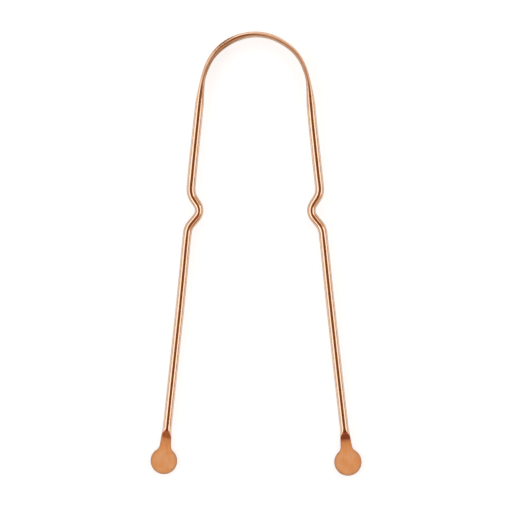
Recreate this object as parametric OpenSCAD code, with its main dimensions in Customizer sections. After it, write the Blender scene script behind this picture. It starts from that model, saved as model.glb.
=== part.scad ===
// Tongue scraper, bent from one copper rod.
// The rod's middle is rolled into a thin arched band that scrapes the tongue. Each leg has a
// thumb bend, and each end is pressed into a flat round disc.
// The scraper lies as it rests on a table: +Z up, the arch towards +Y and the discs towards -Y.
// The origin is on the table, under the middle of the scraper.

/* [Rod] */
// Diameter of the round rod
rod_d = 2.9; // [2.5:0.05:3.4]

/* [Arched band] */
// Radius of the arch, to the middle of the band
arch_r = 18.1; // [15:0.1:21]
// Thickness of the band
band_t = 1.4; // [1:0.05:1.9]
// Width of the band
band_w = 5; // [4:0.1:6]
// Angle from the top of the arch to either end of the crown
crown_half_angle = 25; // [15:1:40]
// Length over which the band turns into round rod
taper_len = 10; // [6:0.5:14]

/* [Legs] */
// Outward lean of the legs
leg_flare = 6; // [3:0.5:9]
// Length from the arch to the thumb bend, with the taper
upper_leg_len = 35.5; // [26:0.5:45]
// Length of round rod from the thumb bend to the neck
lower_leg_len = 66.2; // [50:0.2:80]

/* [Thumb bend] */
// Lean towards the other leg, going into the bend
thumb_in_angle = 34; // [26:1:42]
// Outward lean, coming out of the bend
thumb_out_angle = 39; // [28:1:46]
// Radius where the leg first turns inwards
upper_bend_r = 6.2; // [4:0.1:8]
// Radius of the innermost turn, where the thumb presses
thumb_rest_r = 3.8; // [2.8:0.1:5]
// Radius where the leg turns back to its own lean
lower_bend_r = 5.4; // [4:0.1:8]
// Straight rod before the innermost turn
thumb_in_len = 1.9; // [1:0.1:4]
// Straight rod after the innermost turn
thumb_out_len = 2.9; // [1:0.1:5]

/* [Neck] */
// Length from the round rod to the middle of the disc
neck_len = 11.7; // [10.5:0.1:15]
// Angle at which each side of the neck widens
neck_flare = 4.5; // [2:0.5:6]
// Radius at the top of the pressed ramp
ramp_top_r = 3.5; // [2:0.1:5]
// Radius at the foot of the pressed ramp
ramp_foot_r = 1.5; // [0.8:0.1:2.5]
// Radius of the corners between neck and disc
neck_fillet_r = 2.5; // [1:0.1:3.5]

/* [End discs] */
// Diameter of each disc
disc_d = 9.2; // [8:0.1:11]
// Thickness of each disc
disc_t = 1; // [0.8:0.05:1.4]
// Radius of the disc's rounded rim
disc_edge_r = 0.35; // [0.1:0.05:0.4]

/* [Hidden] */
$fn = 96;

rod_r = rod_d / 2;
disc_r = disc_d / 2;
band_half_w = band_w / 2;
half_t = disc_t / 2;
taper_rings = 16;
taper_sides = 32;
// How far a shape that cuts reaches past what it cuts
overrun = 1;
copper = [0.72, 0.45, 0.28];
satin_copper = [0.85, 0.58, 0.38];

// Section areas of the band and of the rod, which the taper goes between
band_area = band_t * (band_w - band_t) + PI * pow(band_t / 2, 2);
rod_area = PI * pow(rod_r, 2);

// The right leg is a chain of places: x, y, and the heading in degrees outward from straight back.
// The arch's middle is at x = 0, y = 0, and the wire's mid-plane at z = 0.
function ahead(place, length) = [
    place.x + length * sin(place.z),
    place.y - length * cos(place.z),
    place.z
];
function bend_side(place, heading) = sign(heading - place.z);
function bend_centre(place, bend_r, heading) = [
    place.x + bend_side(place, heading) * bend_r * cos(place.z),
    place.y + bend_side(place, heading) * bend_r * sin(place.z)
];
function after_bend(place, bend_r, heading) =
    let (centre = bend_centre(place, bend_r, heading))
    [
        centre.x - bend_side(place, heading) * bend_r * cos(heading),
        centre.y - bend_side(place, heading) * bend_r * sin(heading),
        heading
    ];

arch_end = [arch_r * cos(leg_flare), arch_r * sin(leg_flare), leg_flare];
taper_end = ahead(arch_end, taper_len);
upper_bend_start = ahead(arch_end, upper_leg_len);
upper_bend_end = after_bend(upper_bend_start, upper_bend_r, -thumb_in_angle);
thumb_rest_start = ahead(upper_bend_end, thumb_in_len);
thumb_rest_end = after_bend(thumb_rest_start, thumb_rest_r, thumb_out_angle);
lower_bend_start = ahead(thumb_rest_end, thumb_out_len);
lower_leg_start = after_bend(lower_bend_start, lower_bend_r, leg_flare);
neck_start = ahead(lower_leg_start, lower_leg_len);
disc_centre = ahead(neck_start, neck_len);

// How far each of the three bends turns the rod
upper_bend_angle = leg_flare + thumb_in_angle;
thumb_rest_angle = thumb_in_angle + thumb_out_angle;
lower_bend_angle = thumb_out_angle - leg_flare;

// The pressed ramp, seen from the side: a round shoulder that runs into a hollow foot
press_depth = rod_r - half_t;
ramp_angle = acos(1 - press_depth / (ramp_top_r + ramp_foot_r));
ramp_turn = ramp_top_r * sin(ramp_angle);
ramp_turn_h = rod_r - ramp_top_r * (1 - cos(ramp_angle));
ramp_len = (ramp_top_r + ramp_foot_r) * sin(ramp_angle);

// The corner between neck and disc, seen from above, with u along the neck and v across it.
// Its centre is one fillet radius from the neck's side and from the disc's rim.
corner_reach = disc_r + neck_fillet_r;
side_offset = rod_r + neck_fillet_r / cos(neck_flare);
corner_a = 1 + pow(tan(neck_flare), 2);
corner_b = side_offset * tan(neck_flare) - neck_len;
corner_c = pow(neck_len, 2) + pow(side_offset, 2) - pow(corner_reach, 2);
corner_u = (-corner_b - sqrt(pow(corner_b, 2) - corner_a * corner_c)) / corner_a;
corner_v = side_offset + corner_u * tan(neck_flare);
corner_start_u = corner_u + neck_fillet_r * sin(neck_flare);
corner_start_v = corner_v - neck_fillet_r * cos(neck_flare);
seam_u = neck_len - (neck_len - corner_u) * disc_r / corner_reach;
seam_v = corner_v * disc_r / corner_reach;

// At rest the band's lower edge and the lower ends of the round legs touch the table
rest_tilt = atan((band_half_w - rod_r) / (arch_end.y - neck_start.y));
middle_y = (arch_r + band_t / 2 + disc_centre.y - disc_r) / 2;
rest_h = band_half_w * cos(rest_tilt) - (arch_end.y - middle_y) * sin(rest_tilt);

module at_rest()
    translate([0, 0, rest_h])
        rotate([rest_tilt, 0, 0])
            translate([0, -middle_y, 0])
                children();

// The right half as drawn, or the left half as its mirror image
module half(side)
    mirror([side == "left" ? 1 : 0, 0, 0])
        children();

// Moves to a place on the leg: x points outwards, y up, and z along the leg
module at_place(place)
    translate([place.x, place.y, 0])
        rotate([90, 0, place.z])
            children();

module straight_rod(length)
    cylinder(h = length, d = rod_d);

// Round rod bent about an upright axis at centre_x. Angles run from the x axis towards z.
module bent_rod(centre_x, start_angle, sweep)
    translate([centre_x, 0, 0])
        rotate([90, 0, 0])
            rotate_extrude(angle = sweep, start = start_angle)
                translate([abs(centre_x), 0])
                    circle(d = rod_d);

// Flat band with round edges, as the rolls leave them
module band_section() {
    square([band_t, band_w - band_t], center = true);
    for (edge = [-1, 1])
        translate([0, edge * (band_w - band_t) / 2])
            circle(d = band_t);
}

module band_arc(start_angle, sweep)
    rotate([0, 0, start_angle])
        rotate_extrude(angle = sweep)
            translate([arch_r, 0])
                band_section();

// Plate of the disc's thickness from one radius to another, with a rounded edge at one of them
module plate_section(from_r, to_r, rounded_r) {
    inset = rounded_r == from_r ? disc_edge_r : 0;
    translate([from_r, disc_edge_r - half_t])
        square([to_r - from_r, disc_t - 2 * disc_edge_r]);
    translate([from_r + inset, -half_t])
        square([to_r - from_r - disc_edge_r, disc_t]);
    for (face = [-1, 1])
        translate([rounded_r + (inset > 0 ? disc_edge_r : -disc_edge_r), face * (half_t - disc_edge_r)])
            circle(r = disc_edge_r);
}

module band_crown()
    color(copper)
        at_rest()
            band_arc(90 - crown_half_angle, 2 * crown_half_angle);

module band_shoulder(side)
    color(copper)
        at_rest()
            half(side)
                band_arc(leg_flare, 90 - crown_half_angle - leg_flare);

// The band's section goes over to the rod's: the thickness grows smoothly, and the width
// follows from the area of metal in the section.
module taper(side) {
    function smooth(share) = share * share * (3 - 2 * share);
    function thickness(share) = band_t + (rod_d - band_t) * smooth(share);
    function area(share) = band_area + (rod_area - band_area) * share;
    function flat_w(share) =
        max(0, area(share) - PI * pow(thickness(share) / 2, 2)) / thickness(share);
    function ring(share) = [
        for (step = [0 : taper_sides - 1])
            let (
                angle = 360 * step / taper_sides,
                edge_r = thickness(share) / 2,
                edge_side = step % (taper_sides / 2) == 0 ? 0 : sign(sin(angle))
            )
            [
                edge_r * cos(angle),
                edge_r * sin(angle) + edge_side * flat_w(share) / 2,
                taper_len * share
            ]
    ];
    points = [for (ring_no = [0 : taper_rings]) each ring(ring_no / taper_rings)];
    start_face = [for (step = [0 : taper_sides - 1]) step];
    end_face = [for (step = [0 : taper_sides - 1]) (taper_rings + 1) * taper_sides - 1 - step];
    side_faces = [
        for (ring_no = [0 : taper_rings - 1], step = [0 : taper_sides - 1])
            let (
                low = ring_no * taper_sides,
                high = low + taper_sides,
                next = (step + 1) % taper_sides
            )
            [low + step, high + step, high + next, low + next]
    ];
    color(copper)
        at_rest()
            half(side)
                at_place(arch_end)
                    polyhedron(points = points, faces = concat([start_face, end_face], side_faces));
}

module upper_leg(side)
    color(copper)
        at_rest()
            half(side)
                at_place(taper_end)
                    straight_rod(upper_leg_len - taper_len);

// The first bend turns the leg inwards, and a short straight follows it
module upper_bend(side)
    color(copper)
        at_rest()
            half(side)
                at_place(upper_bend_end) {
                    bent_rod(-upper_bend_r, -upper_bend_angle, upper_bend_angle);
                    straight_rod(thumb_in_len);
                }

// The innermost turn, where the thumb and finger press
module thumb_rest(side)
    color(copper)
        at_rest()
            half(side)
                at_place(thumb_rest_start)
                    bent_rod(thumb_rest_r, 180 - thumb_rest_angle, thumb_rest_angle);

// A short straight, then the last bend back to the leg's lean
module lower_bend(side)
    color(copper)
        at_rest()
            half(side)
                at_place(thumb_rest_end) {
                    straight_rod(thumb_out_len);
                    translate([0, 0, thumb_out_len])
                        bent_rod(-lower_bend_r, 0, lower_bend_angle);
                }

module lower_leg(side)
    color(copper)
        at_rest()
            half(side)
                at_place(lower_leg_start)
                    straight_rod(lower_leg_len);

// Upper half of what the dies leave, seen from the side
module pressed_half() {
    intersection() {
        square([ramp_turn, rod_r]);
        translate([0, rod_r - ramp_top_r])
            circle(r = ramp_top_r);
    }
    difference() {
        translate([ramp_turn, 0])
            square([ramp_len - ramp_turn, ramp_turn_h]);
        translate([ramp_len, half_t + ramp_foot_r])
            circle(r = ramp_foot_r);
    }
    square([seam_u, half_t]);
}

module pressed_plan()
    rotate([0, -90, 0])
        linear_extrude(height = 2 * (seam_v + overrun), center = true)
            for (face = [0, 1])
                mirror([0, face])
                    pressed_half();

// One corner between the neck and the disc, with the disc's rounded rim carried round it
module neck_corner()
    intersection() {
        rotate([90, 0, 0])
            linear_extrude(height = disc_t + overrun, center = true)
                polygon([
                    [0, corner_start_u],
                    [corner_start_v, corner_start_u],
                    [corner_v, corner_u],
                    [seam_v, seam_u],
                    [0, seam_u]
                ]);
        translate([corner_v, 0, corner_u])
            rotate([90, 0, 0])
                rotate_extrude()
                    plate_section(neck_fillet_r, 2 * neck_fillet_r + corner_v, neck_fillet_r);
    }

module neck(side)
    color(satin_copper)
        at_rest()
            half(side)
                at_place(neck_start) {
                    intersection() {
                        pressed_plan();
                        cylinder(h = seam_u, r1 = rod_r, r2 = rod_r + seam_u * tan(neck_flare));
                    }
                    for (edge = [0, 1])
                        mirror([edge, 0, 0])
                            neck_corner();
                }

module end_disc(side)
    color(satin_copper)
        at_rest()
            half(side)
                at_place(neck_start)
                    difference() {
                        translate([0, 0, neck_len])
                            rotate([90, 0, 0])
                                rotate_extrude()
                                    plate_section(0, disc_r, disc_r);
                        translate([-disc_r, -disc_t, seam_u - disc_r])
                            cube([disc_d, 2 * disc_t, disc_r]);
                    }

band_crown();
band_shoulder("left");  // left_band_shoulder
band_shoulder("right");  // right_band_shoulder
taper("left");  // left_taper
taper("right");  // right_taper
upper_leg("left");  // left_upper_leg
upper_leg("right");  // right_upper_leg
upper_bend("left");  // left_upper_bend
upper_bend("right");  // right_upper_bend
thumb_rest("left");  // left_thumb_rest
thumb_rest("right");  // right_thumb_rest
lower_bend("left");  // left_lower_bend
lower_bend("right");  // right_lower_bend
lower_leg("left");  // left_lower_leg
lower_leg("right");  // right_lower_leg
neck("left");  // left_neck
neck("right");  // right_neck
end_disc("left");  // left_end_disc
end_disc("right");  // right_end_disc
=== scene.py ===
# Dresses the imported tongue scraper: one copper rod with a rolled band, bent legs and pressed ends.
# Lengths are in millimetres until a mesh, lamp or camera is made, and angles are in degrees.
# The wire is described by its distance from the top of the arch: negative on the left half,
# positive on the right. Across the wire, "out" points away from the mid-line and "up" from the floor.

import math

import bpy
import numpy as np
from mathutils import Matrix, Vector


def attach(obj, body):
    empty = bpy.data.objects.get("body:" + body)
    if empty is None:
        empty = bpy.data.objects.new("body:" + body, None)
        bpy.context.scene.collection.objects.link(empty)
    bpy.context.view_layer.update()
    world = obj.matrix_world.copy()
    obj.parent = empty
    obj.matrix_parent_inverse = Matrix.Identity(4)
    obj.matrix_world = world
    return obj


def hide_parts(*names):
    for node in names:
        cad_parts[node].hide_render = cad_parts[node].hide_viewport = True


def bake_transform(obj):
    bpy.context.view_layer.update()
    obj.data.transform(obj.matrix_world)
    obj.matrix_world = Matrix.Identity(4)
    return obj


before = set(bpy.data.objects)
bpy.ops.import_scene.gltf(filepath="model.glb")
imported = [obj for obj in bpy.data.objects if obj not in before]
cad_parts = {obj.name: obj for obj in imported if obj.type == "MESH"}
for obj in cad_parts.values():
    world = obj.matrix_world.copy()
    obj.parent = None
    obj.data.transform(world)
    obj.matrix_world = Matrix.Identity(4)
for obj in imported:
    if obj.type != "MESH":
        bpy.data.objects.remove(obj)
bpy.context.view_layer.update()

MM = 0.001
MICROMETRE = 1e-6

# Rod and band
ROD_R = 1.45
BAND_T = 1.4
BAND_W = 5.0
ARCH_R = 18.1
CROWN_HALF_ANGLE = 25
TAPER_LEN = 10.0

# Legs and thumb bends
LEG_FLARE = 6
UPPER_LEG_LEN = 35.5
LOWER_LEG_LEN = 66.2
THUMB_IN_ANGLE = 34
THUMB_OUT_ANGLE = 39
UPPER_BEND_R = 6.2
THUMB_REST_R = 3.8
LOWER_BEND_R = 5.4
THUMB_IN_LEN = 1.9
THUMB_OUT_LEN = 2.9
# The bends ease in and out over this length
BEND_EASE = 1.2

# Pressed ends. The two differ a little, as hand-fed work does.
DISC_T = 1.0
HALF_T = DISC_T / 2
# The rim is rounded more steeply than a quarter circle: this far in, and this far down
RIM_IN = 0.24
RIM_DOWN = 0.44
DISC_R = {"left": 4.50, "right": 4.62}
NECK_LEN = {"left": 11.4, "right": 11.85}
NECK_FLARE = 4.5
NECK_FILLET_R = 2.5
RAMP_START = {"left": 0.55, "right": 1.2}
RAMP_TOP_R = {"left": 2.9, "right": 2.6}
RAMP_FOOT_R = {"left": 2.2, "right": 0.9}
RAMP_CORNER_BLEND = 0.25
# The left end lay askew between the dies: how much nearer the ramp is for each step outwards
RAMP_SKEW = {"left": 0.22, "right": 0.0}
# How softly the satin begins beside the rod's own bright skin, and how far in the rim has painted shade
SKIN_BLEND = 0.04
RIM_PAINTED_SHADE_IN = 0.45
# Where the matt flat begins, from the ramp's foot, and over what length. A share of the change is
# slow, and ends where the disc begins.
MATT_FROM = {"left": -0.9, "right": -0.3}
MATT_BLEND = {"left": 1.6, "right": 2.2}
SLOW_MATT_SHARE = 0.35

# The rolling was uneven. Each swell is an amount, its place as an angle from the top of the arch,
# and its reach: the band is thicker towards the left, and the crest of its edges lies off centre,
# by a share of the half thickness.
THICKNESS_SWELLS = ((0.43, -25, 100), (0.38, -31, 32))
CREST_SHIFTS = ((-0.34, -66, 30), (-0.34, 18, 28), (0.12, -17, 16), (-0.1, 56, 20))
# The edges are a little squarer than a half circle, and like a low roof left of the top of the arch
EDGE_SQUARENESS = 0.15
ROOF_LOWER_SHARE = 0.36
ROOF_RIDGE = 0.36
ROOF_SWELL = (1.0, -33, 42)
# The band thickens into the rod between these distances from the top of the arch
WIDENING_START, WIDENING_END = 24.0, 35.2

# The rod is a little thicker down to the thumb rests. Bending squeezed it there, and the tool left
# ripples on the left one.
UPPER_SWELL = 0.1
UPPER_SWELL_AT, UPPER_SWELL_REACH = 54, 20
SQUEEZE_SHARE = 0.02
SQUEEZE_REACH = 5.0
# The upper bends' crest lies a little outwards, by a share of the half thickness
BEND_CREST_SHIFT = 0.06
BEND_CREST_BLEND = 4.0
# Bending made the rod's crest slightly sharper around the thumb rests
THUMB_RIDGE = 0.065
THUMB_RIDGE_BLEND = 3.0
RIPPLE_H = 0.012
RIPPLE_LEN = 0.55
RIPPLES_REACH = 1.9
# The ripples are deepest opposite this angle round the section, in radians
RIPPLE_ANGLE = 0.9

# How far the hand-bent wire strays outwards from its even course, at distances from the top
STRAY = {
    "left": ((0, 0.12), (4, 0.0), (16, 0.01), (23, -0.20), (30, 0.15), (50, 0.16), (58, 0.13),
             (62, 0.0), (66, 0.08), (71, 0.02), (82, 0.21), (90, 0.10), (105, 0.0), (145, 0.08),
             (160, 0.0)),
    "right": ((0, 0.12), (5, 0.10), (10, -0.10), (15, 0.02), (18, -0.04), (23, -0.25), (29, 0.04),
              (41, -0.12), (65, -0.04), (73, -0.10), (82, 0.01), (100, -0.04), (130, 0.12),
              (145, 0.25), (160, 0.27)),
}
STRAY_EASE = 4.5

# Fineness of the meshes
ROD_SIDES = 64
NECK_SIDES = 96
LEG_SPACING = 1.0
BAND_SPACING = 0.2
BEND_SPACING = 0.12
NECK_SPACING = 0.06
RIM_STEPS = 7
DISC_ARC_STEPS = 120
DISC_SEAM_STEPS = 24
DISC_RING_SHARES = (0.8, 0.6, 0.4, 0.2)
TRACE_STEP = 0.01
EASE_SAMPLES = 13
STRAY_SAMPLES = 25
# Steps for working out a surface's direction: along the wire, and round it in radians
NUDGE = 0.01
TURN_NUDGE = 0.02
# Sines are rounded to this many digits, so that they are 0 at the two sides of a section
SINE_DIGITS = 6
TINY = 1e-9

# The photograph, in pixels of its own frame: its side, the scraper's mid-line and the arch's middle
PHOTO_SIDE = 512
PHOTO_MIDLINE_X = 255.45
PHOTO_ARCH_Y = 88.25
# How many millimetres one pixel shows
PHOTO_PIXEL = 0.338
CAMERA_DISTANCE = 1270.0
SENSOR_WIDTH = 36.0

# Linear colours
COPPER = (0.94, 0.70, 0.53, 1.0)
COPPER_DEEP = (0.88, 0.60, 0.41, 1.0)
# Painted shade: copper darkened where it should only reflect dim light
PAINTED_SHADE_COPPER = (0.53, 0.31, 0.18, 1.0)
SATIN = (1.0, 0.62, 0.325, 1.0)
SATIN_DEEP = (0.98, 0.52, 0.21, 1.0)
# Painted shade on the pressed ends' rims
SATIN_PAINTED_SHADE = (0.56, 0.33, 0.21, 1.0)
# Painted shade: the ramp's dark red stands in for the dim light that it reflects
RAMP_PAINTED_SHADE = (0.54, 0.175, 0.075, 1.0)
EDGE_TINT = (0.16, 0.19, 0.21, 1.0)
CEILING_COLOUR = (0.20, 0.072, 0.019, 1.0)
WALL_COLOUR = (0.33, 0.31, 0.29, 1.0)
DIM_WALL_COLOUR = (0.16, 0.13, 0.105, 1.0)
FLOOR_COLOUR = (0.42, 0.48, 0.53, 1.0)
WHITE = (1.0, 1.0, 1.0, 1.0)

# Roughness. A pair is the range of a mottled surface.
ROD_ROUGHNESS = (0.13, 0.20)
BRIGHT_BAND_ROUGHNESS = 0.2
DULL_BAND_ROUGHNESS = 0.48
BAND_ROUGHNESS_MOTTLE = (-0.05, 0.05)
SKIN_ROUGHNESS = 0.14
RAMP_ROUGHNESS = 0.34
SATIN_ROUGHNESS = (0.86, 0.98)
SATIN_METALLIC = 0.2
# Patterns of noise: the features a millimetre along the wire, those across it, and the detail
ROD_CLOUDS = (0.12, 0.5, 2.0)
ROD_LINES = (0.25, 3.0, 4.0)
BAND_MOTTLE = (0.45, 0.9, 3.0)
BAND_WEAR = (0.6, 1.2, 3.0)
SATIN_MOTTLE = (0.35, 0.45, 4.0)
SATIN_GRAIN = (0.8, 1.6, 4.0)
SATIN_STREAKS = (0.2, 2.2, 3.0)
# The range that most of a pattern lies in
NOISE_RANGE = (0.3, 0.7)
# How a pattern becomes a share of a tone: the range of it that counts, and the shares at its ends
CLOUDS_SHARE = (0.35, 0.75, 0.0, 0.5)
MOTTLE_SHARE = (0.35, 0.7, 0.1, 0.9)
STREAKS_SHARE = (*NOISE_RANGE, -0.1, 0.1)
# Bumps: each is a pattern as above, and then its height in micrometres
ROD_BUMPS = ((0.09, 0.25, 2.0, 9.0), (0.5, 3.0, 3.0, 0.5), (1.0, 14.0, 2.0, 0.2))
BAND_BUMPS = ((0.25, 0.5, 2.0, 6.0), (0.5, 9.0, 3.0, 0.8), (0.8, 3.5, 3.0, 1.0))
PRESSED_BUMPS = ((0.3, 0.4, 2.0, 6.0), (0.3, 4.0, 3.0, 1.0), (11.0, 13.0, 2.0, 1.0))

# Tones along and across the wire. Each pair of distances goes from none of a tone to all of it.
# Along the wire they are from the top of the arch, and across it from the wire's middle.
DULL_ON_RIGHT = (-6.0, 5.0)
DULL_ON_LEFT = (-9.0, -23.0)
DULL_BEFORE_TAPER = (32.0, 23.0)
LEFT_DULLNESS = 0.9
# Painted shade inside the wire, where it reflects dim light: where it begins, where it ends, how far in
# it lies and how strong it is
PAINTED_SHADE_PLACES = {
    "left_shoulder": ((-6.0, -12.0), (-27.0, -20.0), (-0.1, -0.8), 0.9),
    "left_thumb": ((-72.3, -73.3), (-77.3, -76.0), (-0.2, -0.7), 0.6),
}
# Slighter painted shade, widening the crest's dark reflection: a line inside the crest, which broadens
# over the tapers
LINE_ON_RIGHT = (6.0, 12.0)
LINE_ON_LEFT = (-24.0, -28.0)
LINE_BEFORE_LEG = (36.4, 33.0)
LINE_INSIDE = (0.0, -0.35)
LINE_NARROW = (-0.9, -0.5)
LINE_BROADENS = (25.0, 30.0)
LINE_BREADTH = 0.75
LINE_STRENGTH = 0.42
# The rod's flanks have painted shade for their darker reflection: how far out it begins, and how strong
# it is on the legs and the bends
FLANKS = (0.7, 1.05)
LEG_FLANK_SHADE = 0.12
BEND_FLANK_SHADE = 0.4
# The strength changes over this stretch about each end of the bends
FLANK_EASE = (-1.0, 3.0)
# The neck's deeper tone, from the rod's end, and the strength of the rim's painted shade
NECK_TONE = (9.5, 6.5)
RIM_PAINTED_SHADE_SHARE = 0.9

# The lamps stand round the scraper and face it. Each has its direction, as an azimuth and an angle
# above the floor, its width and height, the level that a mirror would show, and its colour.
LAMP_DISTANCE = 1000.0
LAMPS = {
    "left_softbox": (176.0, 38.5, 1380.0, 710.0, 1.23, WHITE),
    "right_softbox": (4.5, 37.2, 560.0, 655.0, 1.17, WHITE),
    "far_fill": (80.0, 34.0, 1150.0, 800.0, 1.08, WHITE),
    "amber_fill": (32.8, 34.8, 460.0, 750.0, 0.57, (1.0, 0.69, 0.45, 1.0)),
    "near_fill": (-118.4, 34.8, 950.0, 750.0, 0.56, (1.0, 0.88, 0.78, 1.0)),
    "warm_fill": (-28.0, 34.8, 480.0, 750.0, 0.57, (1.0, 0.63, 0.47, 1.0)),
    "tan_fill": (-62.0, 38.0, 680.0, 650.0, 0.38, (1.0, 0.74, 0.56, 1.0)),
}
# The world's left wall and its ceiling, from none to all of each, by the direction's X and Z
LEFT_WALL = (-0.75, -0.95)
CEILING = (0.18, 0.5)
# The floor lies this far below the scraper, and glows this much where it is looked at
FLOOR_SIDE = 8000.0
FLOOR_GAP = 0.02
FLOOR_GLOW = 0.77

SIDES = ("left", "right")


def arc_len(radius, angle):
    return radius * math.radians(angle)


def smooth(share):
    share = np.clip(share, 0.0, 1.0)
    return share * share * (3 - 2 * share)


def swell(value, centre, reach):
    """1 at the centre, falling smoothly to 0 at the reach on both sides."""
    return 0.5 + 0.5 * np.cos(np.pi * np.clip((value - centre) / reach, -1, 1))


def lesser(a, b, blend):
    """The lesser of two heights, with their corner rounded over the blend."""
    near = np.maximum(blend - np.abs(a - b), 0) / np.maximum(blend, TINY)
    return np.minimum(a, b) - near * near * blend / 4


# The right half from the top of the arch: the length of each stretch, and how far it turns outwards
STRETCHES = {
    "arch": (arc_len(ARCH_R, 90 - LEG_FLARE), LEG_FLARE - 90),
    "upper_leg": (UPPER_LEG_LEN, 0),
    "upper_bend": (arc_len(UPPER_BEND_R, LEG_FLARE + THUMB_IN_ANGLE), -LEG_FLARE - THUMB_IN_ANGLE),
    "thumb_in": (THUMB_IN_LEN, 0),
    "thumb_rest": (
        arc_len(THUMB_REST_R, THUMB_IN_ANGLE + THUMB_OUT_ANGLE),
        THUMB_IN_ANGLE + THUMB_OUT_ANGLE,
    ),
    "thumb_out": (THUMB_OUT_LEN, 0),
    "lower_bend": (arc_len(LOWER_BEND_R, THUMB_OUT_ANGLE - LEG_FLARE), LEG_FLARE - THUMB_OUT_ANGLE),
    "lower_leg": (LOWER_LEG_LEN, 0),
}
ENDS = dict(zip(STRETCHES, np.cumsum([length for length, turn in STRETCHES.values()])))
CROWN_END = arc_len(ARCH_R, CROWN_HALF_ANGLE)
TAPER_END = ENDS["arch"] + TAPER_LEN
NECK_START = ENDS["lower_leg"]
WIRE_END = NECK_START + max(NECK_LEN.values()) + max(DISC_R.values())


def trace_right_half():
    """Distance, heading in radians outwards from straight back, x and y, in fine steps."""
    distance = np.arange(0, WIRE_END + TRACE_STEP, TRACE_STEP)
    turns = np.cumsum([turn for length, turn in STRETCHES.values()])
    knots = [-ENDS["arch"], 0, *ENDS.values()]
    headings = [90 - turns[0], 90, *(90 + turns)]
    offsets = np.linspace(-BEND_EASE / 2, BEND_EASE / 2, EASE_SAMPLES)
    eased = [np.interp(distance + offset, knots, headings) for offset in offsets]
    heading = np.radians(np.mean(eased, axis=0))

    def run_up(values):
        return np.concatenate([[0], np.cumsum((values[1:] + values[:-1]) / 2 * TRACE_STEP)])

    return distance, heading, run_up(np.sin(heading)), ARCH_R - run_up(np.cos(heading))


TRACE = trace_right_half()


def stray(signed):
    """How far the wire strays outwards from its even course."""
    knots, values = np.array(
        [(-distance, value) for distance, value in STRAY["left"][:0:-1]] + [*STRAY["right"]]
    ).T
    offsets = np.linspace(-STRAY_EASE / 2, STRAY_EASE / 2, STRAY_SAMPLES)
    return np.mean([np.interp(signed + offset, knots, values) for offset in offsets], axis=0)


def wire_place(signed):
    """Centre of the wire and the direction outwards, at distances that are negative on the left."""
    distance, heading, x, y = (
        np.interp(np.abs(signed), TRACE[0], values) for values in TRACE
    )
    side = np.where(signed < 0, -1.0, 1.0)
    out = np.stack([side * np.cos(heading), np.sin(heading), np.zeros_like(x)], -1)
    centre = np.stack([side * x, y, np.zeros_like(x)], -1) + out * stray(signed)[..., None]
    return centre, out


def on_wire(signed, out_by, up_by):
    """Points beside the wire, in its own flat frame: the arch's middle is the origin."""
    centre, out = wire_place(signed)
    points = centre + out * out_by[..., None]
    points[..., 2] += up_by
    return points


class Neck:
    """The plan of one pressed end, and its ramp. u runs along the neck from the round rod."""

    def __init__(self, side):
        neck_len, disc_r = NECK_LEN[side], DISC_R[side]
        flare = math.tan(math.radians(NECK_FLARE))
        side_offset = ROD_R + NECK_FILLET_R * math.hypot(1, flare)
        reach = disc_r + NECK_FILLET_R
        a = 1 + flare**2
        b = side_offset * flare - neck_len
        c = neck_len**2 + side_offset**2 - reach**2
        self.neck_len = neck_len
        self.disc_r = disc_r
        self.corner_u = (-b - math.sqrt(b * b - a * c)) / a
        self.corner_v = side_offset + self.corner_u * flare
        self.fillet_start = self.corner_u + NECK_FILLET_R * math.sin(math.radians(NECK_FLARE))
        self.seam_u = neck_len - (neck_len - self.corner_u) * disc_r / reach
        self.flare = flare
        self.ramp_start = RAMP_START[side]
        self.top_r, self.foot_r = RAMP_TOP_R[side], RAMP_FOOT_R[side]
        angle = math.acos(1 - (ROD_R - HALF_T) / (self.top_r + self.foot_r))
        self.ramp_turn = self.top_r * math.sin(angle)
        self.ramp_len = (self.top_r + self.foot_r) * math.sin(angle)
        self.matt_start = self.ramp_start + self.ramp_len + MATT_FROM[side]
        self.matt_blend = MATT_BLEND[side]
        self.skew = RAMP_SKEW[side]

    def half_width(self, u):
        side = ROD_R + np.maximum(u, 0) * self.flare
        fillet_part = np.clip(u - self.corner_u, -NECK_FILLET_R, NECK_FILLET_R)
        fillet = self.corner_v - np.sqrt(NECK_FILLET_R**2 - fillet_part**2)
        disc_part = np.clip(u - self.neck_len, -self.disc_r, self.disc_r)
        disc = np.sqrt(self.disc_r**2 - disc_part**2)
        return np.where(u < self.fillet_start, side, np.where(u < self.seam_u, fillet, disc))

    def slant(self, u):
        """How much longer than the rim's own depth its depth is when it is cut square to the neck."""
        slope = (self.half_width(u + NUDGE) - self.half_width(u - NUDGE)) / (2 * NUDGE)
        return np.sqrt(1 + slope**2)

    def die_u(self, u, out_by):
        """How far along its own course the dies pressed a point of this neck."""
        return u + self.skew * out_by

    def ramp_height(self, u):
        """Half height that the dies leave: a round shoulder that runs into a hollow foot."""
        u = u - self.ramp_start
        top_part = np.clip(u, 0, self.ramp_turn)
        top = ROD_R - self.top_r + np.sqrt(self.top_r**2 - top_part**2)
        foot_part = np.clip(self.ramp_len - u, 0, self.ramp_len - self.ramp_turn)
        foot = HALF_T + self.foot_r - np.sqrt(self.foot_r**2 - foot_part**2)
        return np.where(u < self.ramp_turn, top, foot)


NECKS = {side: Neck(side) for side in SIDES}


def neck_place(signed):
    """The neck that these distances lie on, and how far along it each of them is."""
    side = "left" if np.ravel(signed)[0] < 0 else "right"
    return NECKS[side], np.abs(signed) - NECK_START


def rim_height(out_by, half_width, slant):
    """Half height of the flat plate beside its rounded rim."""
    depth = RIM_IN * slant
    into_rim = np.clip((np.abs(out_by) - half_width + depth) / depth, 0, 1)
    return HALF_T - RIM_DOWN + RIM_DOWN * np.sqrt(1 - into_rim**2)


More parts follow.
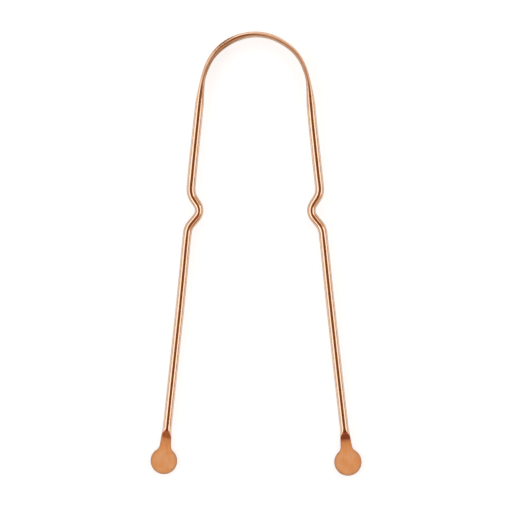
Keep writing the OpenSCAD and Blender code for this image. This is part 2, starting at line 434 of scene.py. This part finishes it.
def half_height(signed):
    """The band keeps the rod's metal, so the height that it loses over the taper goes into width."""
    share = np.clip((np.abs(signed) - ENDS["arch"]) / TAPER_LEN, 0, 1)
    band_area = BAND_T * (BAND_W - BAND_T) + math.pi * (BAND_T / 2) ** 2
    area = band_area + (math.pi * ROD_R**2 - band_area) * share
    half_t = BAND_T / 2 + (ROD_R - BAND_T / 2) * smooth(share)
    return half_t + np.maximum(area - math.pi * half_t**2, 0) / (4 * half_t)


def swells(signed, *parts):
    """The sum of swells, each an amount, its angle from the top of the arch and its reach."""
    polar = np.degrees(signed / ARCH_R)
    return sum(amount * swell(polar, at, reach) for amount, at, reach in parts)


def half_thickness(signed):
    band = (BAND_T + swells(signed, *THICKNESS_SWELLS)) / 2
    rod = ROD_R + UPPER_SWELL / 2 * swell(np.abs(signed), UPPER_SWELL_AT, UPPER_SWELL_REACH)
    share = smooth((np.abs(signed) - WIDENING_START) / (WIDENING_END - WIDENING_START))
    return band + (rod - band) * share


def ripple(signed, angle):
    """Small marks of the bending tool, low on the inner side of the left thumb bend."""
    along = -signed - (ENDS["thumb_rest"] + ENDS["thumb_out"]) / 2
    where = swell(along, 0, RIPPLES_REACH) * np.clip(-np.cos(angle - RIPPLE_ANGLE), 0, 1)
    return RIPPLE_H * where * np.sin(along * 2 * math.pi / RIPPLE_LEN)


def upper_bend_share(signed):
    """1 in the upper bends and the straight bits after them, and 0 farther on both sides."""
    into = np.minimum(np.abs(signed) - ENDS["upper_leg"], ENDS["thumb_in"] - np.abs(signed))
    return smooth(into / BEND_CREST_BLEND + 1)


def thumb_share(signed):
    """1 from the ends of the upper bends to the ends of the lower ones, and 0 farther on both sides."""
    into = np.minimum(np.abs(signed) - ENDS["upper_bend"], ENDS["lower_bend"] - np.abs(signed))
    return smooth(into / THUMB_RIDGE_BLEND + 1)


def upper_or_lower(angle):
    """1 on the upper half of a section, -1 on the lower half, and 0 at its two sides."""
    return np.sign(np.round(np.sin(angle), SINE_DIGITS))


def rolled_section(signed, angle):
    """The band, the taper and the round rod: two half circles, with a flat between them."""
    half_t = half_thickness(signed) + ripple(signed, angle)
    roof = swells(signed, ROOF_SWELL)
    edge_h = half_t * (1 - ROOF_LOWER_SHARE * roof)
    squareness = EDGE_SQUARENESS * (1 - smooth((np.abs(signed) - WIDENING_START) / TAPER_LEN))
    ridge = 1 - squareness * (1 - roof) + ROOF_RIDGE * roof + THUMB_RIDGE * thumb_share(signed)
    half_flat = np.maximum(half_height(signed) - edge_h, 0)
    thumb_middle = (ENDS["thumb_in"] + ENDS["thumb_rest"]) / 2
    squeezed = 1 - SQUEEZE_SHARE * swell(np.abs(signed), thumb_middle, SQUEEZE_REACH)
    across = np.sign(np.cos(angle)) * np.abs(np.cos(angle)) ** ridge
    crest = swells(signed, *CREST_SHIFTS) + BEND_CREST_SHIFT * upper_bend_share(signed)
    out_by = half_t * squeezed * (across + crest * (1 - across**2))
    up_by = upper_or_lower(angle) * (edge_h * np.abs(np.sin(angle)) ** ridge + half_flat)
    return out_by, up_by


def pressed_share(signed, angle):
    """0 where the round rod's own skin is left, 1 where the dies pressed it well below that."""
    neck, u = neck_place(signed)
    half_width = neck.half_width(u)
    die_u = neck.die_u(u, half_width * np.cos(angle))
    cut = half_width * np.abs(np.sin(angle)) - neck.ramp_height(die_u)
    begun = smooth((die_u - neck.ramp_start) / SKIN_BLEND)
    return smooth((cut + SKIN_BLEND) / (2 * SKIN_BLEND)) * begun


def flat_share(signed, angle):
    """0 on the ramp, which the dies only wiped, and 1 on the matt flat."""
    neck, u = neck_place(signed)
    into = neck.die_u(u, neck.half_width(u) * np.cos(angle)) - neck.matt_start
    soon = smooth(into / neck.matt_blend)
    late = smooth(into / (neck.seam_u - neck.matt_start))
    return soon + (late - soon) * SLOW_MATT_SHARE


def painted_rim_share(signed, angle):
    """The share of painted shade: 0 on the plate's face, 1 on its rim."""
    neck, u = neck_place(signed)
    half_width = neck.half_width(u)
    inset = half_width * (1 - np.abs(np.cos(angle))) / neck.slant(u)
    return (1 - smooth(inset / RIM_PAINTED_SHADE_IN)) * smooth((u - neck.matt_start) / NECK_FILLET_R)


def pressed_section(signed, angle):
    """The neck: the round rod cut down by the ramp, which turns into a plate with a rounded rim."""
    neck, u = neck_place(signed)
    half_width = neck.half_width(u)
    out_by = half_width * np.cos(angle)
    round_h = half_width * np.abs(np.sin(angle))
    die_u = neck.die_u(u, out_by)
    corner_blend = RAMP_CORNER_BLEND * smooth((die_u - neck.ramp_start) / neck.ramp_len)
    ramp_h = lesser(neck.ramp_height(die_u), round_h, corner_blend)
    plate_h = rim_height(out_by, half_width, neck.slant(u))
    ramp_end = neck.ramp_start + neck.ramp_len
    plate_share = smooth((u - ramp_end) / (neck.fillet_start - ramp_end))
    up_by = ramp_h + (plate_h - ramp_h) * plate_share
    return out_by, up_by * upper_or_lower(angle)


def section(signed, angle):
    rolled = rolled_section(signed, angle)
    pressed = pressed_section(signed, angle)
    is_pressed = np.abs(signed) > NECK_START
    return np.where(is_pressed, pressed[0], rolled[0]), np.where(is_pressed, pressed[1], rolled[1])


def wire_surface(signed, angle):
    return on_wire(signed, *section(signed, angle))


def resting_matrix():
    """Lays the wire's flat frame on the floor: the band's lower edge and the round legs touch it."""
    arch_end_y = ARCH_R * math.sin(math.radians(LEG_FLARE))
    leg_y = np.interp(NECK_START, TRACE[0], TRACE[3])
    tilt = math.atan((BAND_W / 2 - ROD_R) / (arch_end_y - leg_y))
    disc_place = NECK_START + sum(NECK_LEN.values()) / 2
    disc_y = np.interp(disc_place, TRACE[0], TRACE[3])
    disc_r = sum(DISC_R.values()) / 2
    middle_y = (ARCH_R + BAND_T / 2 + disc_y - disc_r) / 2
    rest_h = BAND_W / 2 * math.cos(tilt) - (arch_end_y - middle_y) * math.sin(tilt)
    return (
        Matrix.Translation((0, 0, rest_h))
        @ Matrix.Rotation(tilt, 4, "X")
        @ Matrix.Translation((0, -middle_y, 0))
    )


REST = resting_matrix()


def laid_down(points):
    """Points of the wire's flat frame, in metres of the scene."""
    matrix = np.array(REST)
    return (points @ matrix[:3, :3].T + matrix[:3, 3]) * MM


def turned_down(directions):
    return directions @ np.array(REST)[:3, :3].T


# Meshes


def unit(vectors):
    return vectors / np.linalg.norm(vectors, axis=-1, keepdims=True)


def ring_faces(rings, sides):
    """Quads between neighbouring rings of points, each ring closed."""
    faces = []
    for ring in range(rings - 1):
        for side in range(sides):
            after = (side + 1) % sides
            low, high = ring * sides, (ring + 1) * sides
            faces.append((low + side, low + after, high + after, high + side))
    return faces


def make_piece(node, points, straight, normals, faces, flat_normals, finish, shares=None):
    """A shown piece that stands for a CAD node. flat_normals gives the faces that aren't shaded
    smooth, straight the points' places on the wire as if it were straight, finish the material and
    a slot's name that is not used, and shares numbers from 0 to 1 at every point for the material to
    read."""
    material, slot = finish
    mesh = bpy.data.meshes.new(f"{node}_surface")
    mesh.from_pydata(laid_down(points).tolist(), [], faces)
    place = mesh.attributes.new("straight_wire", "FLOAT_VECTOR", "POINT")
    place.data.foreach_set("vector", straight.astype(np.float32).ravel())
    for name, values in (shares or {}).items():
        share = mesh.attributes.new(name, "FLOAT", "POINT")
        share.data.foreach_set("value", values.astype(np.float32).ravel())
    mesh.polygons.foreach_set("use_smooth", [True] * len(faces))
    normals = turned_down(normals)
    corner_normals = []
    for number, face in enumerate(faces):
        if number in flat_normals:
            flat = turned_down(flat_normals[number])
            corner_normals += [flat] * len(face)
        else:
            corner_normals += [normals[corner] for corner in face]
    mesh.normals_split_custom_set([tuple(normal) for normal in corner_normals])
    mesh.materials.append(material)
    piece = bpy.data.objects.new(f"{node}_surface", mesh)
    bpy.context.scene.collection.objects.link(piece)
    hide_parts(node)
    return piece


def tube_piece(node, start, end, spacing, sides, finish, share_makers=None):
    """The wire's surface from one distance to another, closed with a flat face at each end."""
    rings = math.ceil((end - start) / spacing) + 1
    signed, angle = np.meshgrid(
        np.linspace(start, end, rings),
        np.arange(sides) * 2 * math.pi / sides,
        indexing="ij",
    )
    points = wire_surface(signed, angle)
    along = wire_surface(signed + NUDGE, angle) - wire_surface(signed - NUDGE, angle)
    around = wire_surface(signed, angle + TURN_NUDGE) - wire_surface(signed, angle - TURN_NUDGE)
    normals = unit(np.cross(around, along))
    straight = np.stack([signed, *section(signed, angle)], -1)
    faces = ring_faces(rings, sides)
    flat_normals = {}
    for ring, way in ((0, -1), (rings - 1, 1)):
        out = wire_place(signed[ring, :1])[1]
        flat_normals[len(faces)] = way * np.cross(out[0], (0, 0, 1))
        corners = range(ring * sides, (ring + 1) * sides)
        faces.append(tuple(corners if way > 0 else reversed(corners)))
    return make_piece(
        node,
        points.reshape(-1, 3),
        straight.reshape(-1, 3),
        normals.reshape(-1, 3),
        faces,
        flat_normals,
        finish,
        {name: maker(signed, angle) for name, maker in (share_makers or {}).items()},
    )


def disc_piece(side, finish):
    """A pressed disc: a plate with a rounded rim, cut straight where the neck runs into it."""
    neck = NECKS[side]
    seam = neck.neck_len - neck.seam_u
    sides = DISC_ARC_STEPS + DISC_SEAM_STEPS

    def outline(inset):
        """u from the disc's middle and v across it, and the direction out of the rim."""
        radius = neck.disc_r - inset
        half_seam = math.sqrt(radius**2 - seam**2)
        last = math.atan2(half_seam, -seam)
        around = np.linspace(-last, last, DISC_ARC_STEPS + 1)
        across = np.linspace(half_seam, -half_seam, DISC_SEAM_STEPS + 1)[1:-1]
        u = np.concatenate([radius * np.cos(around), np.full(len(across), -seam)])
        v = np.concatenate([radius * np.sin(around), across])
        ways = np.stack([u, v], -1) / np.hypot(u, v)[:, None]
        return u, v, ways

    upper = []
    for tilt in np.radians(np.linspace(0, 90, RIM_STEPS)):
        u, v, ways = outline(RIM_IN * (1 - math.cos(tilt)))
        height = HALF_T - RIM_DOWN + RIM_DOWN * math.sin(tilt)
        steep = math.atan2(math.sin(tilt) / RIM_DOWN, math.cos(tilt) / RIM_IN)
        upper.append((u, v, height, ways * math.cos(steep), math.sin(steep)))
    u, v, ways = outline(RIM_IN)
    for share in DISC_RING_SHARES:
        upper.append((u * share, v * share, HALF_T, ways * 0, 1.0))
    rings = [(u, v, -height, ways, -rise) for u, v, height, ways, rise in reversed(upper)] + upper

    u = np.concatenate([ring[0] for ring in rings] + [[0, 0]])
    v = np.concatenate([ring[1] for ring in rings] + [[0, 0]])
    height = np.concatenate([np.full(sides, ring[2]) for ring in rings] + [[-HALF_T, HALF_T]])
    way = -1.0 if side == "left" else 1.0
    signed = way * (NECK_START + neck.neck_len + u)
    points = on_wire(signed, v, height)
    out = wire_place(signed[-1:])[1]
    ahead = way * np.cross(out[0], (0, 0, 1))
    tilts = np.concatenate([ring[3] for ring in rings] + [[[0, 0], [0, 0]]])
    rises = np.concatenate([np.full(sides, ring[4]) for ring in rings] + [[-1.0, 1.0]])
    normals = tilts[:, :1] * ahead + tilts[:, 1:] * out[0] + rises[:, None] * np.array([0, 0, 1.0])
    straight = np.stack([signed, v, height], -1)

    faces = ring_faces(len(rings), sides)
    inner = len(DISC_RING_SHARES)
    flat_normals = {
        number: -ahead
        for number, face in enumerate(faces)
        if number % sides >= DISC_ARC_STEPS and inner <= number // sides < len(rings) - 1 - inner
    }
    last_ring = (len(rings) - 1) * sides
    for corner in range(sides):
        after = (corner + 1) % sides
        faces.append((after, corner, len(u) - 2))
        faces.append((last_ring + corner, last_ring + after, len(u) - 1))
    if side == "left":
        faces = [tuple(reversed(face)) for face in faces]
    # The rim's share of painted shade
    rim = 1 - smooth((neck.disc_r - np.hypot(u, v)) / RIM_PAINTED_SHADE_IN)
    whole = np.ones(len(u))
    shares = {"pressed_share": whole, "flat_share": whole, "painted_rim_share": rim}
    return make_piece(
        f"{side}_end_disc", points, straight, unit(normals), faces, flat_normals, finish, shares
    )


# Materials


def add_node(tree, kind, inputs=(), **settings):
    """Adds a shader node. inputs pairs a socket's name or number with a value or another socket."""
    node = tree.nodes.new(kind)
    for name, value in settings.items():
        setattr(node, name, value)
    for name, value in dict(inputs).items():
        if isinstance(value, bpy.types.NodeSocket):
            tree.links.new(value, node.inputs[name])
        else:
            node.inputs[name].default_value = value
    return node


def straight_place(tree):
    """A point's place on the wire as if it were straight: along it, out from its middle and up."""
    return add_node(tree, "ShaderNodeAttribute", attribute_name="straight_wire").outputs["Vector"]


def wire_noise(tree, along, across, detail):
    """Noise in the straightened wire's own coordinates: so many features a millimetre along it and
    across it."""
    scaled = add_node(
        tree,
        "ShaderNodeVectorMath",
        {0: straight_place(tree), 1: (along, across, across)},
        operation="MULTIPLY",
    )
    noise = add_node(
        tree,
        "ShaderNodeTexNoise",
        {"Vector": scaled.outputs["Vector"], "Scale": 1.0, "Detail": detail},
    )
    return noise.outputs["Fac"]


def wire_part(tree, axis):
    """How far along the straightened wire for X, and how far out from its middle for Y."""
    return add_node(tree, "ShaderNodeSeparateXYZ", {"Vector": straight_place(tree)}).outputs[axis]


def ranged(tree, value, low, high, to_low=0.0, to_high=1.0):
    """Goes smoothly from one number to another while the value goes from low to high."""
    return add_node(
        tree,
        "ShaderNodeMapRange",
        {"Value": value, "From Min": low, "From Max": high, "To Min": to_low, "To Max": to_high},
        interpolation_type="SMOOTHSTEP",
    ).outputs["Result"]


def mixed(tree, share, first, second):
    """A colour between two others. The Mix node keeps its colours in sockets 6 and 7."""
    inputs = {0: share, 6: first, 7: second}
    return add_node(tree, "ShaderNodeMix", inputs, data_type="RGBA").outputs[2]


def maths(tree, operation, *values, clamp=False):
    node = add_node(
        tree, "ShaderNodeMath", enumerate(values), operation=operation, use_clamp=clamp
    )
    return node.outputs["Value"]


def product(tree, first, *factors):
    for factor in factors:
        first = maths(tree, "MULTIPLY", first, factor)
    return first


def blended(tree, share, first, second):
    """A number between two others. The Mix node keeps its numbers in sockets 2 and 3."""
    return add_node(tree, "ShaderNodeMix", {0: share, 2: first, 3: second}).outputs[0]


def bumped(tree, bumps):
    """A normal from several patterns of noise, each with its height in micrometres."""
    total = 0.0
    for along, across, detail, height in bumps:
        pattern = wire_noise(tree, along, across, detail)
        total = maths(tree, "MULTIPLY_ADD", pattern, height, total)
    return add_node(
        tree, "ShaderNodeBump", {"Height": total, "Strength": 1.0, "Distance": MICROMETRE}
    ).outputs["Normal"]


def copper_material(name, colour, roughness, bumps, metallic=None):
    """The makers of colour, roughness and metallic take the node tree and return a socket."""
    material = bpy.data.materials.new(name)
    material.use_nodes = True
    tree = material.node_tree
    shader = tree.nodes["Principled BSDF"]
    shader.inputs["Metallic"].default_value = 1.0
    if metallic:
        tree.links.new(metallic(tree), shader.inputs["Metallic"])
    shader.inputs["Specular Tint"].default_value = EDGE_TINT
    tree.links.new(colour(tree), shader.inputs["Base Color"])
    tree.links.new(roughness(tree), shader.inputs["Roughness"])
    tree.links.new(bumped(tree, bumps), shader.inputs["Normal"])
    return material


def painted_shade_at(tree, place):
    """The share of painted shade at one of the places inside the wire that are painted darker."""
    begun, lasting, inside, strength = PAINTED_SHADE_PLACES[place]
    along = wire_part(tree, "X")
    inner = ranged(tree, wire_part(tree, "Y"), *inside, 0.0, strength)
    return product(tree, ranged(tree, along, *begun), ranged(tree, along, *lasting), inner)


def rod_copper():
    """Bright drawn rod: faint lines along it, and slow clouds of tone. Its flanks have painted shade,
    more so in the thumb bends, and most inside the left one's lower half."""

    def painted_flank_shade(tree):
        far = maths(tree, "ABSOLUTE", wire_part(tree, "X"))
        early, late = FLANK_EASE
        begun = ranged(tree, far, ENDS["upper_leg"] + early, ENDS["upper_leg"] + late)
        lasting = ranged(tree, far, ENDS["lower_bend"] + late, ENDS["lower_bend"] + early)
        in_bends = product(tree, begun, lasting)
        flank = ranged(tree, maths(tree, "ABSOLUTE", wire_part(tree, "Y")), *FLANKS)
        return product(tree, flank, blended(tree, in_bends, LEG_FLANK_SHADE, BEND_FLANK_SHADE))

    def colour(tree):
        clouds = ranged(tree, wire_noise(tree, *ROD_CLOUDS), *CLOUDS_SHARE)
        bright = mixed(tree, clouds, COPPER, COPPER_DEEP)
        # Painted shade on the flanks and inside the left thumb bend
        shade = maths(tree, "MAXIMUM", painted_flank_shade(tree), painted_shade_at(tree, "left_thumb"))
        return mixed(tree, shade, bright, PAINTED_SHADE_COPPER)

    def roughness(tree):
        return ranged(tree, wire_noise(tree, *ROD_LINES), *NOISE_RANGE, *ROD_ROUGHNESS)

    return copper_material("rod_copper", colour, roughness, ROD_BUMPS)


def band_copper():
    """Rolled band: fine rolling lines, and dull from wear, but for a bright stretch left of its top
    and the tapers' ends. The inside of its left shoulder has painted shade, and so have the
    insides of the tapers and a line along the right shoulder."""

    def painted_crest_line(tree):
        along, out = wire_part(tree, "X"), wire_part(tree, "Y")
        far = maths(tree, "ABSOLUTE", along)
        on_right = ranged(tree, along, *LINE_ON_RIGHT)
        on_left = ranged(tree, along, *LINE_ON_LEFT)
        begun = maths(tree, "MAXIMUM", on_right, on_left)
        lasting = ranged(tree, far, *LINE_BEFORE_LEG)
        inside = ranged(tree, out, *LINE_INSIDE, 0.0, LINE_STRENGTH)
        broad = ranged(tree, far, *LINE_BROADENS, 0.0, LINE_BREADTH)
        line = maths(tree, "MAXIMUM", ranged(tree, out, *LINE_NARROW), broad)
        return product(tree, begun, lasting, inside, line)

    def dullness(tree):
        along = wire_part(tree, "X")
        on_right = ranged(tree, along, *DULL_ON_RIGHT)
        on_left = ranged(tree, along, *DULL_ON_LEFT, 0.0, LEFT_DULLNESS)
        lasting = ranged(tree, maths(tree, "ABSOLUTE", along), *DULL_BEFORE_TAPER)
        return product(tree, maths(tree, "ADD", on_right, on_left), lasting)

    def colour(tree):
        mottle = ranged(tree, wire_noise(tree, *BAND_MOTTLE), *MOTTLE_SHARE)
        bright = mixed(tree, mottle, COPPER, COPPER_DEEP)
        dulled = mixed(tree, dullness(tree), bright, COPPER_DEEP)
        # Painted shade inside the left shoulder and along the crest line
        band_painted_shade = maths(tree, "MAXIMUM", painted_shade_at(tree, "left_shoulder"), painted_crest_line(tree))
        return mixed(tree, band_painted_shade, dulled, PAINTED_SHADE_COPPER)

    def roughness(tree):
        dulled = blended(tree, dullness(tree), BRIGHT_BAND_ROUGHNESS, DULL_BAND_ROUGHNESS)
        wear = ranged(tree, wire_noise(tree, *BAND_WEAR), *NOISE_RANGE, *BAND_ROUGHNESS_MOTTLE)
        return maths(tree, "ADD", dulled, wear)

    return copper_material("band_copper", colour, roughness, BAND_BUMPS)


def pressed_copper():
    """Satin ends: the dies' fine grain, with faint lines down the neck, which is deeper in tone than
    the disc. The rod's own bright skin is left beside the ramp, the ramp's dark red is painted shade,
    and the rim has a little painted shade."""

    def share(tree, name):
        return add_node(tree, "ShaderNodeAttribute", attribute_name=name).outputs["Fac"]

    def colour(tree):
        mottle = ranged(tree, wire_noise(tree, *SATIN_MOTTLE), *NOISE_RANGE)
        far = maths(tree, "ABSOLUTE", wire_part(tree, "X"))
        on_neck = ranged(tree, maths(tree, "SUBTRACT", far, NECK_START), *NECK_TONE)
        satin = mixed(tree, maths(tree, "MAXIMUM", mottle, on_neck), SATIN, SATIN_DEEP)
        # Painted shade on the rim
        darker = product(tree, share(tree, "painted_rim_share"), RIM_PAINTED_SHADE_SHARE)
        shaded = mixed(tree, darker, satin, SATIN_PAINTED_SHADE)
        streaks = ranged(tree, wire_noise(tree, *SATIN_STREAKS), *STREAKS_SHARE)
        flat = maths(tree, "ADD", share(tree, "flat_share"), streaks, clamp=True)
        # Painted shade on the ramp
        pressed = mixed(tree, flat, RAMP_PAINTED_SHADE, shaded)
        return mixed(tree, share(tree, "pressed_share"), COPPER, pressed)

    def roughness(tree):
        satin = ranged(tree, wire_noise(tree, *SATIN_GRAIN), *NOISE_RANGE, *SATIN_ROUGHNESS)
        pressed = blended(tree, share(tree, "flat_share"), RAMP_ROUGHNESS, satin)
        return blended(tree, share(tree, "pressed_share"), SKIN_ROUGHNESS, pressed)

    def metallic(tree):
        return blended(tree, share(tree, "flat_share"), 1.0, SATIN_METALLIC)

    return copper_material("pressed_copper", colour, roughness, PRESSED_BUMPS, metallic)


# Pieces


def dress_wire():
    """One shown piece for every CAD node, from the crown down both sides."""
    rod = (rod_copper(), "rod_copper")
    band = (band_copper(), "band_copper")
    pressed = (pressed_copper(), "pressed_copper")
    crown = tube_piece("band_crown", -CROWN_END, CROWN_END, BAND_SPACING, ROD_SIDES, band)
    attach(crown, "crown")
    for side in SIDES:
        way = -1 if side == "left" else 1
        handle = f"{side}_handle"

        def half_piece(name, start, end, spacing, sides, finish, share_makers=None):
            near, far = sorted((way * start, way * end))
            return tube_piece(f"{side}_{name}", near, far, spacing, sides, finish, share_makers)

        shoulder = half_piece(
            "band_shoulder", CROWN_END, ENDS["arch"], BAND_SPACING, ROD_SIDES, band
        )
        bend_over_shoulder(shoulder)
        riding = []
        for name, start, end, spacing, finish in (
            ("taper", ENDS["arch"], TAPER_END, BAND_SPACING, band),
            ("upper_leg", TAPER_END, ENDS["upper_leg"], LEG_SPACING, rod),
            ("upper_bend", ENDS["upper_leg"], ENDS["thumb_in"], BEND_SPACING, rod),
            ("thumb_rest", ENDS["thumb_in"], ENDS["thumb_rest"], BEND_SPACING, rod),
            ("lower_bend", ENDS["thumb_rest"], ENDS["lower_bend"], BEND_SPACING, rod),
            ("lower_leg", ENDS["lower_bend"], NECK_START, LEG_SPACING, rod),
        ):
            riding.append(half_piece(name, start, end, spacing, ROD_SIDES, finish))
        seam = NECK_START + NECKS[side].seam_u
        makers = {
            "pressed_share": pressed_share,
            "flat_share": flat_share,
            "painted_rim_share": painted_rim_share,
        }
        riding.append(
            half_piece("neck", NECK_START, seam, NECK_SPACING, NECK_SIDES, pressed, makers)
        )
        riding.append(disc_piece(side, pressed))
        for piece in riding:
            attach(piece, handle)


def bend_over_shoulder(shoulder):
    """Bakes the shoulder's placement into its mesh."""
    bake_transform(shoulder)


# Stage


def make_floor():
    """A pale floor that is white to the eye and in the metal, but keeps the scraper's shadow."""
    mesh = bpy.data.meshes.new("floor")
    reach, gap = FLOOR_SIDE / 2 * MM, FLOOR_GAP * MM
    corners = [(x * reach, y * reach, -gap) for x, y in ((-1, -1), (1, -1), (1, 1), (-1, 1))]
    mesh.from_pydata(corners, [], [(0, 1, 2, 3)])
    floor = bpy.data.objects.new("floor", mesh)
    bpy.context.scene.collection.objects.link(floor)
    material = bpy.data.materials.new("floor")
    material.use_nodes = True
    tree = material.node_tree
    tree.nodes.clear()
    rays = add_node(tree, "ShaderNodeLightPath")
    seen = maths(tree, "MAXIMUM", rays.outputs["Is Camera Ray"], rays.outputs["Is Glossy Ray"])
    seen = maths(tree, "MAXIMUM", seen, rays.outputs["Is Transmission Ray"])
    paint = add_node(tree, "ShaderNodeBsdfDiffuse", {"Color": FLOOR_COLOUR})
    light = add_node(
        tree,
        "ShaderNodeEmission",
        {"Color": WHITE, "Strength": product(tree, FLOOR_GLOW, seen)},
    )
    both = add_node(tree, "ShaderNodeAddShader", {0: paint.outputs["BSDF"], 1: light.outputs[0]})
    add_node(tree, "ShaderNodeOutputMaterial", {"Surface": both.outputs["Shader"]})
    mesh.materials.append(material)


def make_lamp(name, azimuth, rise, width, height, level, colour):
    """A rectangular lamp that faces the scraper's middle."""
    azimuth, rise = math.radians(azimuth), math.radians(rise)
    across = math.cos(rise)
    away = Vector((across * math.cos(azimuth), across * math.sin(azimuth), math.sin(rise)))
    lamp = bpy.data.lights.new(name, "AREA")
    lamp.color = colour[:3]
    lamp.shape = "RECTANGLE"
    lamp.size = width * MM
    lamp.size_y = height * MM
    lamp.energy = level * math.pi * lamp.size * lamp.size_y
    holder = bpy.data.objects.new(name, lamp)
    bpy.context.scene.collection.objects.link(holder)
    holder.location = away * LAMP_DISTANCE * MM
    holder.rotation_euler = (-away).to_track_quat("-Z", "Y").to_euler()


def make_world():
    """A dim studio with a warm ceiling and a paler wall on the left."""
    world = bpy.data.worlds.new("studio")
    bpy.context.scene.world = world
    world.use_nodes = True
    tree = world.node_tree
    direction = add_node(tree, "ShaderNodeTexCoord").outputs["Generated"]
    parts = add_node(tree, "ShaderNodeSeparateXYZ", {"Vector": direction})
    on_left = ranged(tree, parts.outputs["X"], *LEFT_WALL)
    wall = mixed(tree, on_left, DIM_WALL_COLOUR, WALL_COLOUR)
    colour = mixed(tree, ranged(tree, parts.outputs["Z"], *CEILING), wall, CEILING_COLOUR)
    tree.links.new(colour, tree.nodes["Background"].inputs["Color"])


def make_camera():
    """Straight above the wire's plane, framed as the photograph is."""
    data = bpy.data.cameras.new("camera")
    data.sensor_width = SENSOR_WIDTH
    data.lens = data.sensor_width * CAMERA_DISTANCE / (PHOTO_SIDE * PHOTO_PIXEL)
    camera = bpy.data.objects.new("camera", data)
    bpy.context.scene.collection.objects.link(camera)
    across = (PHOTO_SIDE / 2 - PHOTO_MIDLINE_X) * PHOTO_PIXEL
    down = (PHOTO_SIDE / 2 - PHOTO_ARCH_Y) * PHOTO_PIXEL
    seat = REST @ Vector((across, -down, CAMERA_DISTANCE))
    camera.rotation_euler = REST.to_euler()
    camera.location = seat * MM
    bpy.context.scene.camera = camera


bpy.context.scene.view_settings.view_transform = "Standard"
dress_wire()
make_floor()
make_world()
for name, lamp in LAMPS.items():
    make_lamp(name, *lamp)
make_camera()
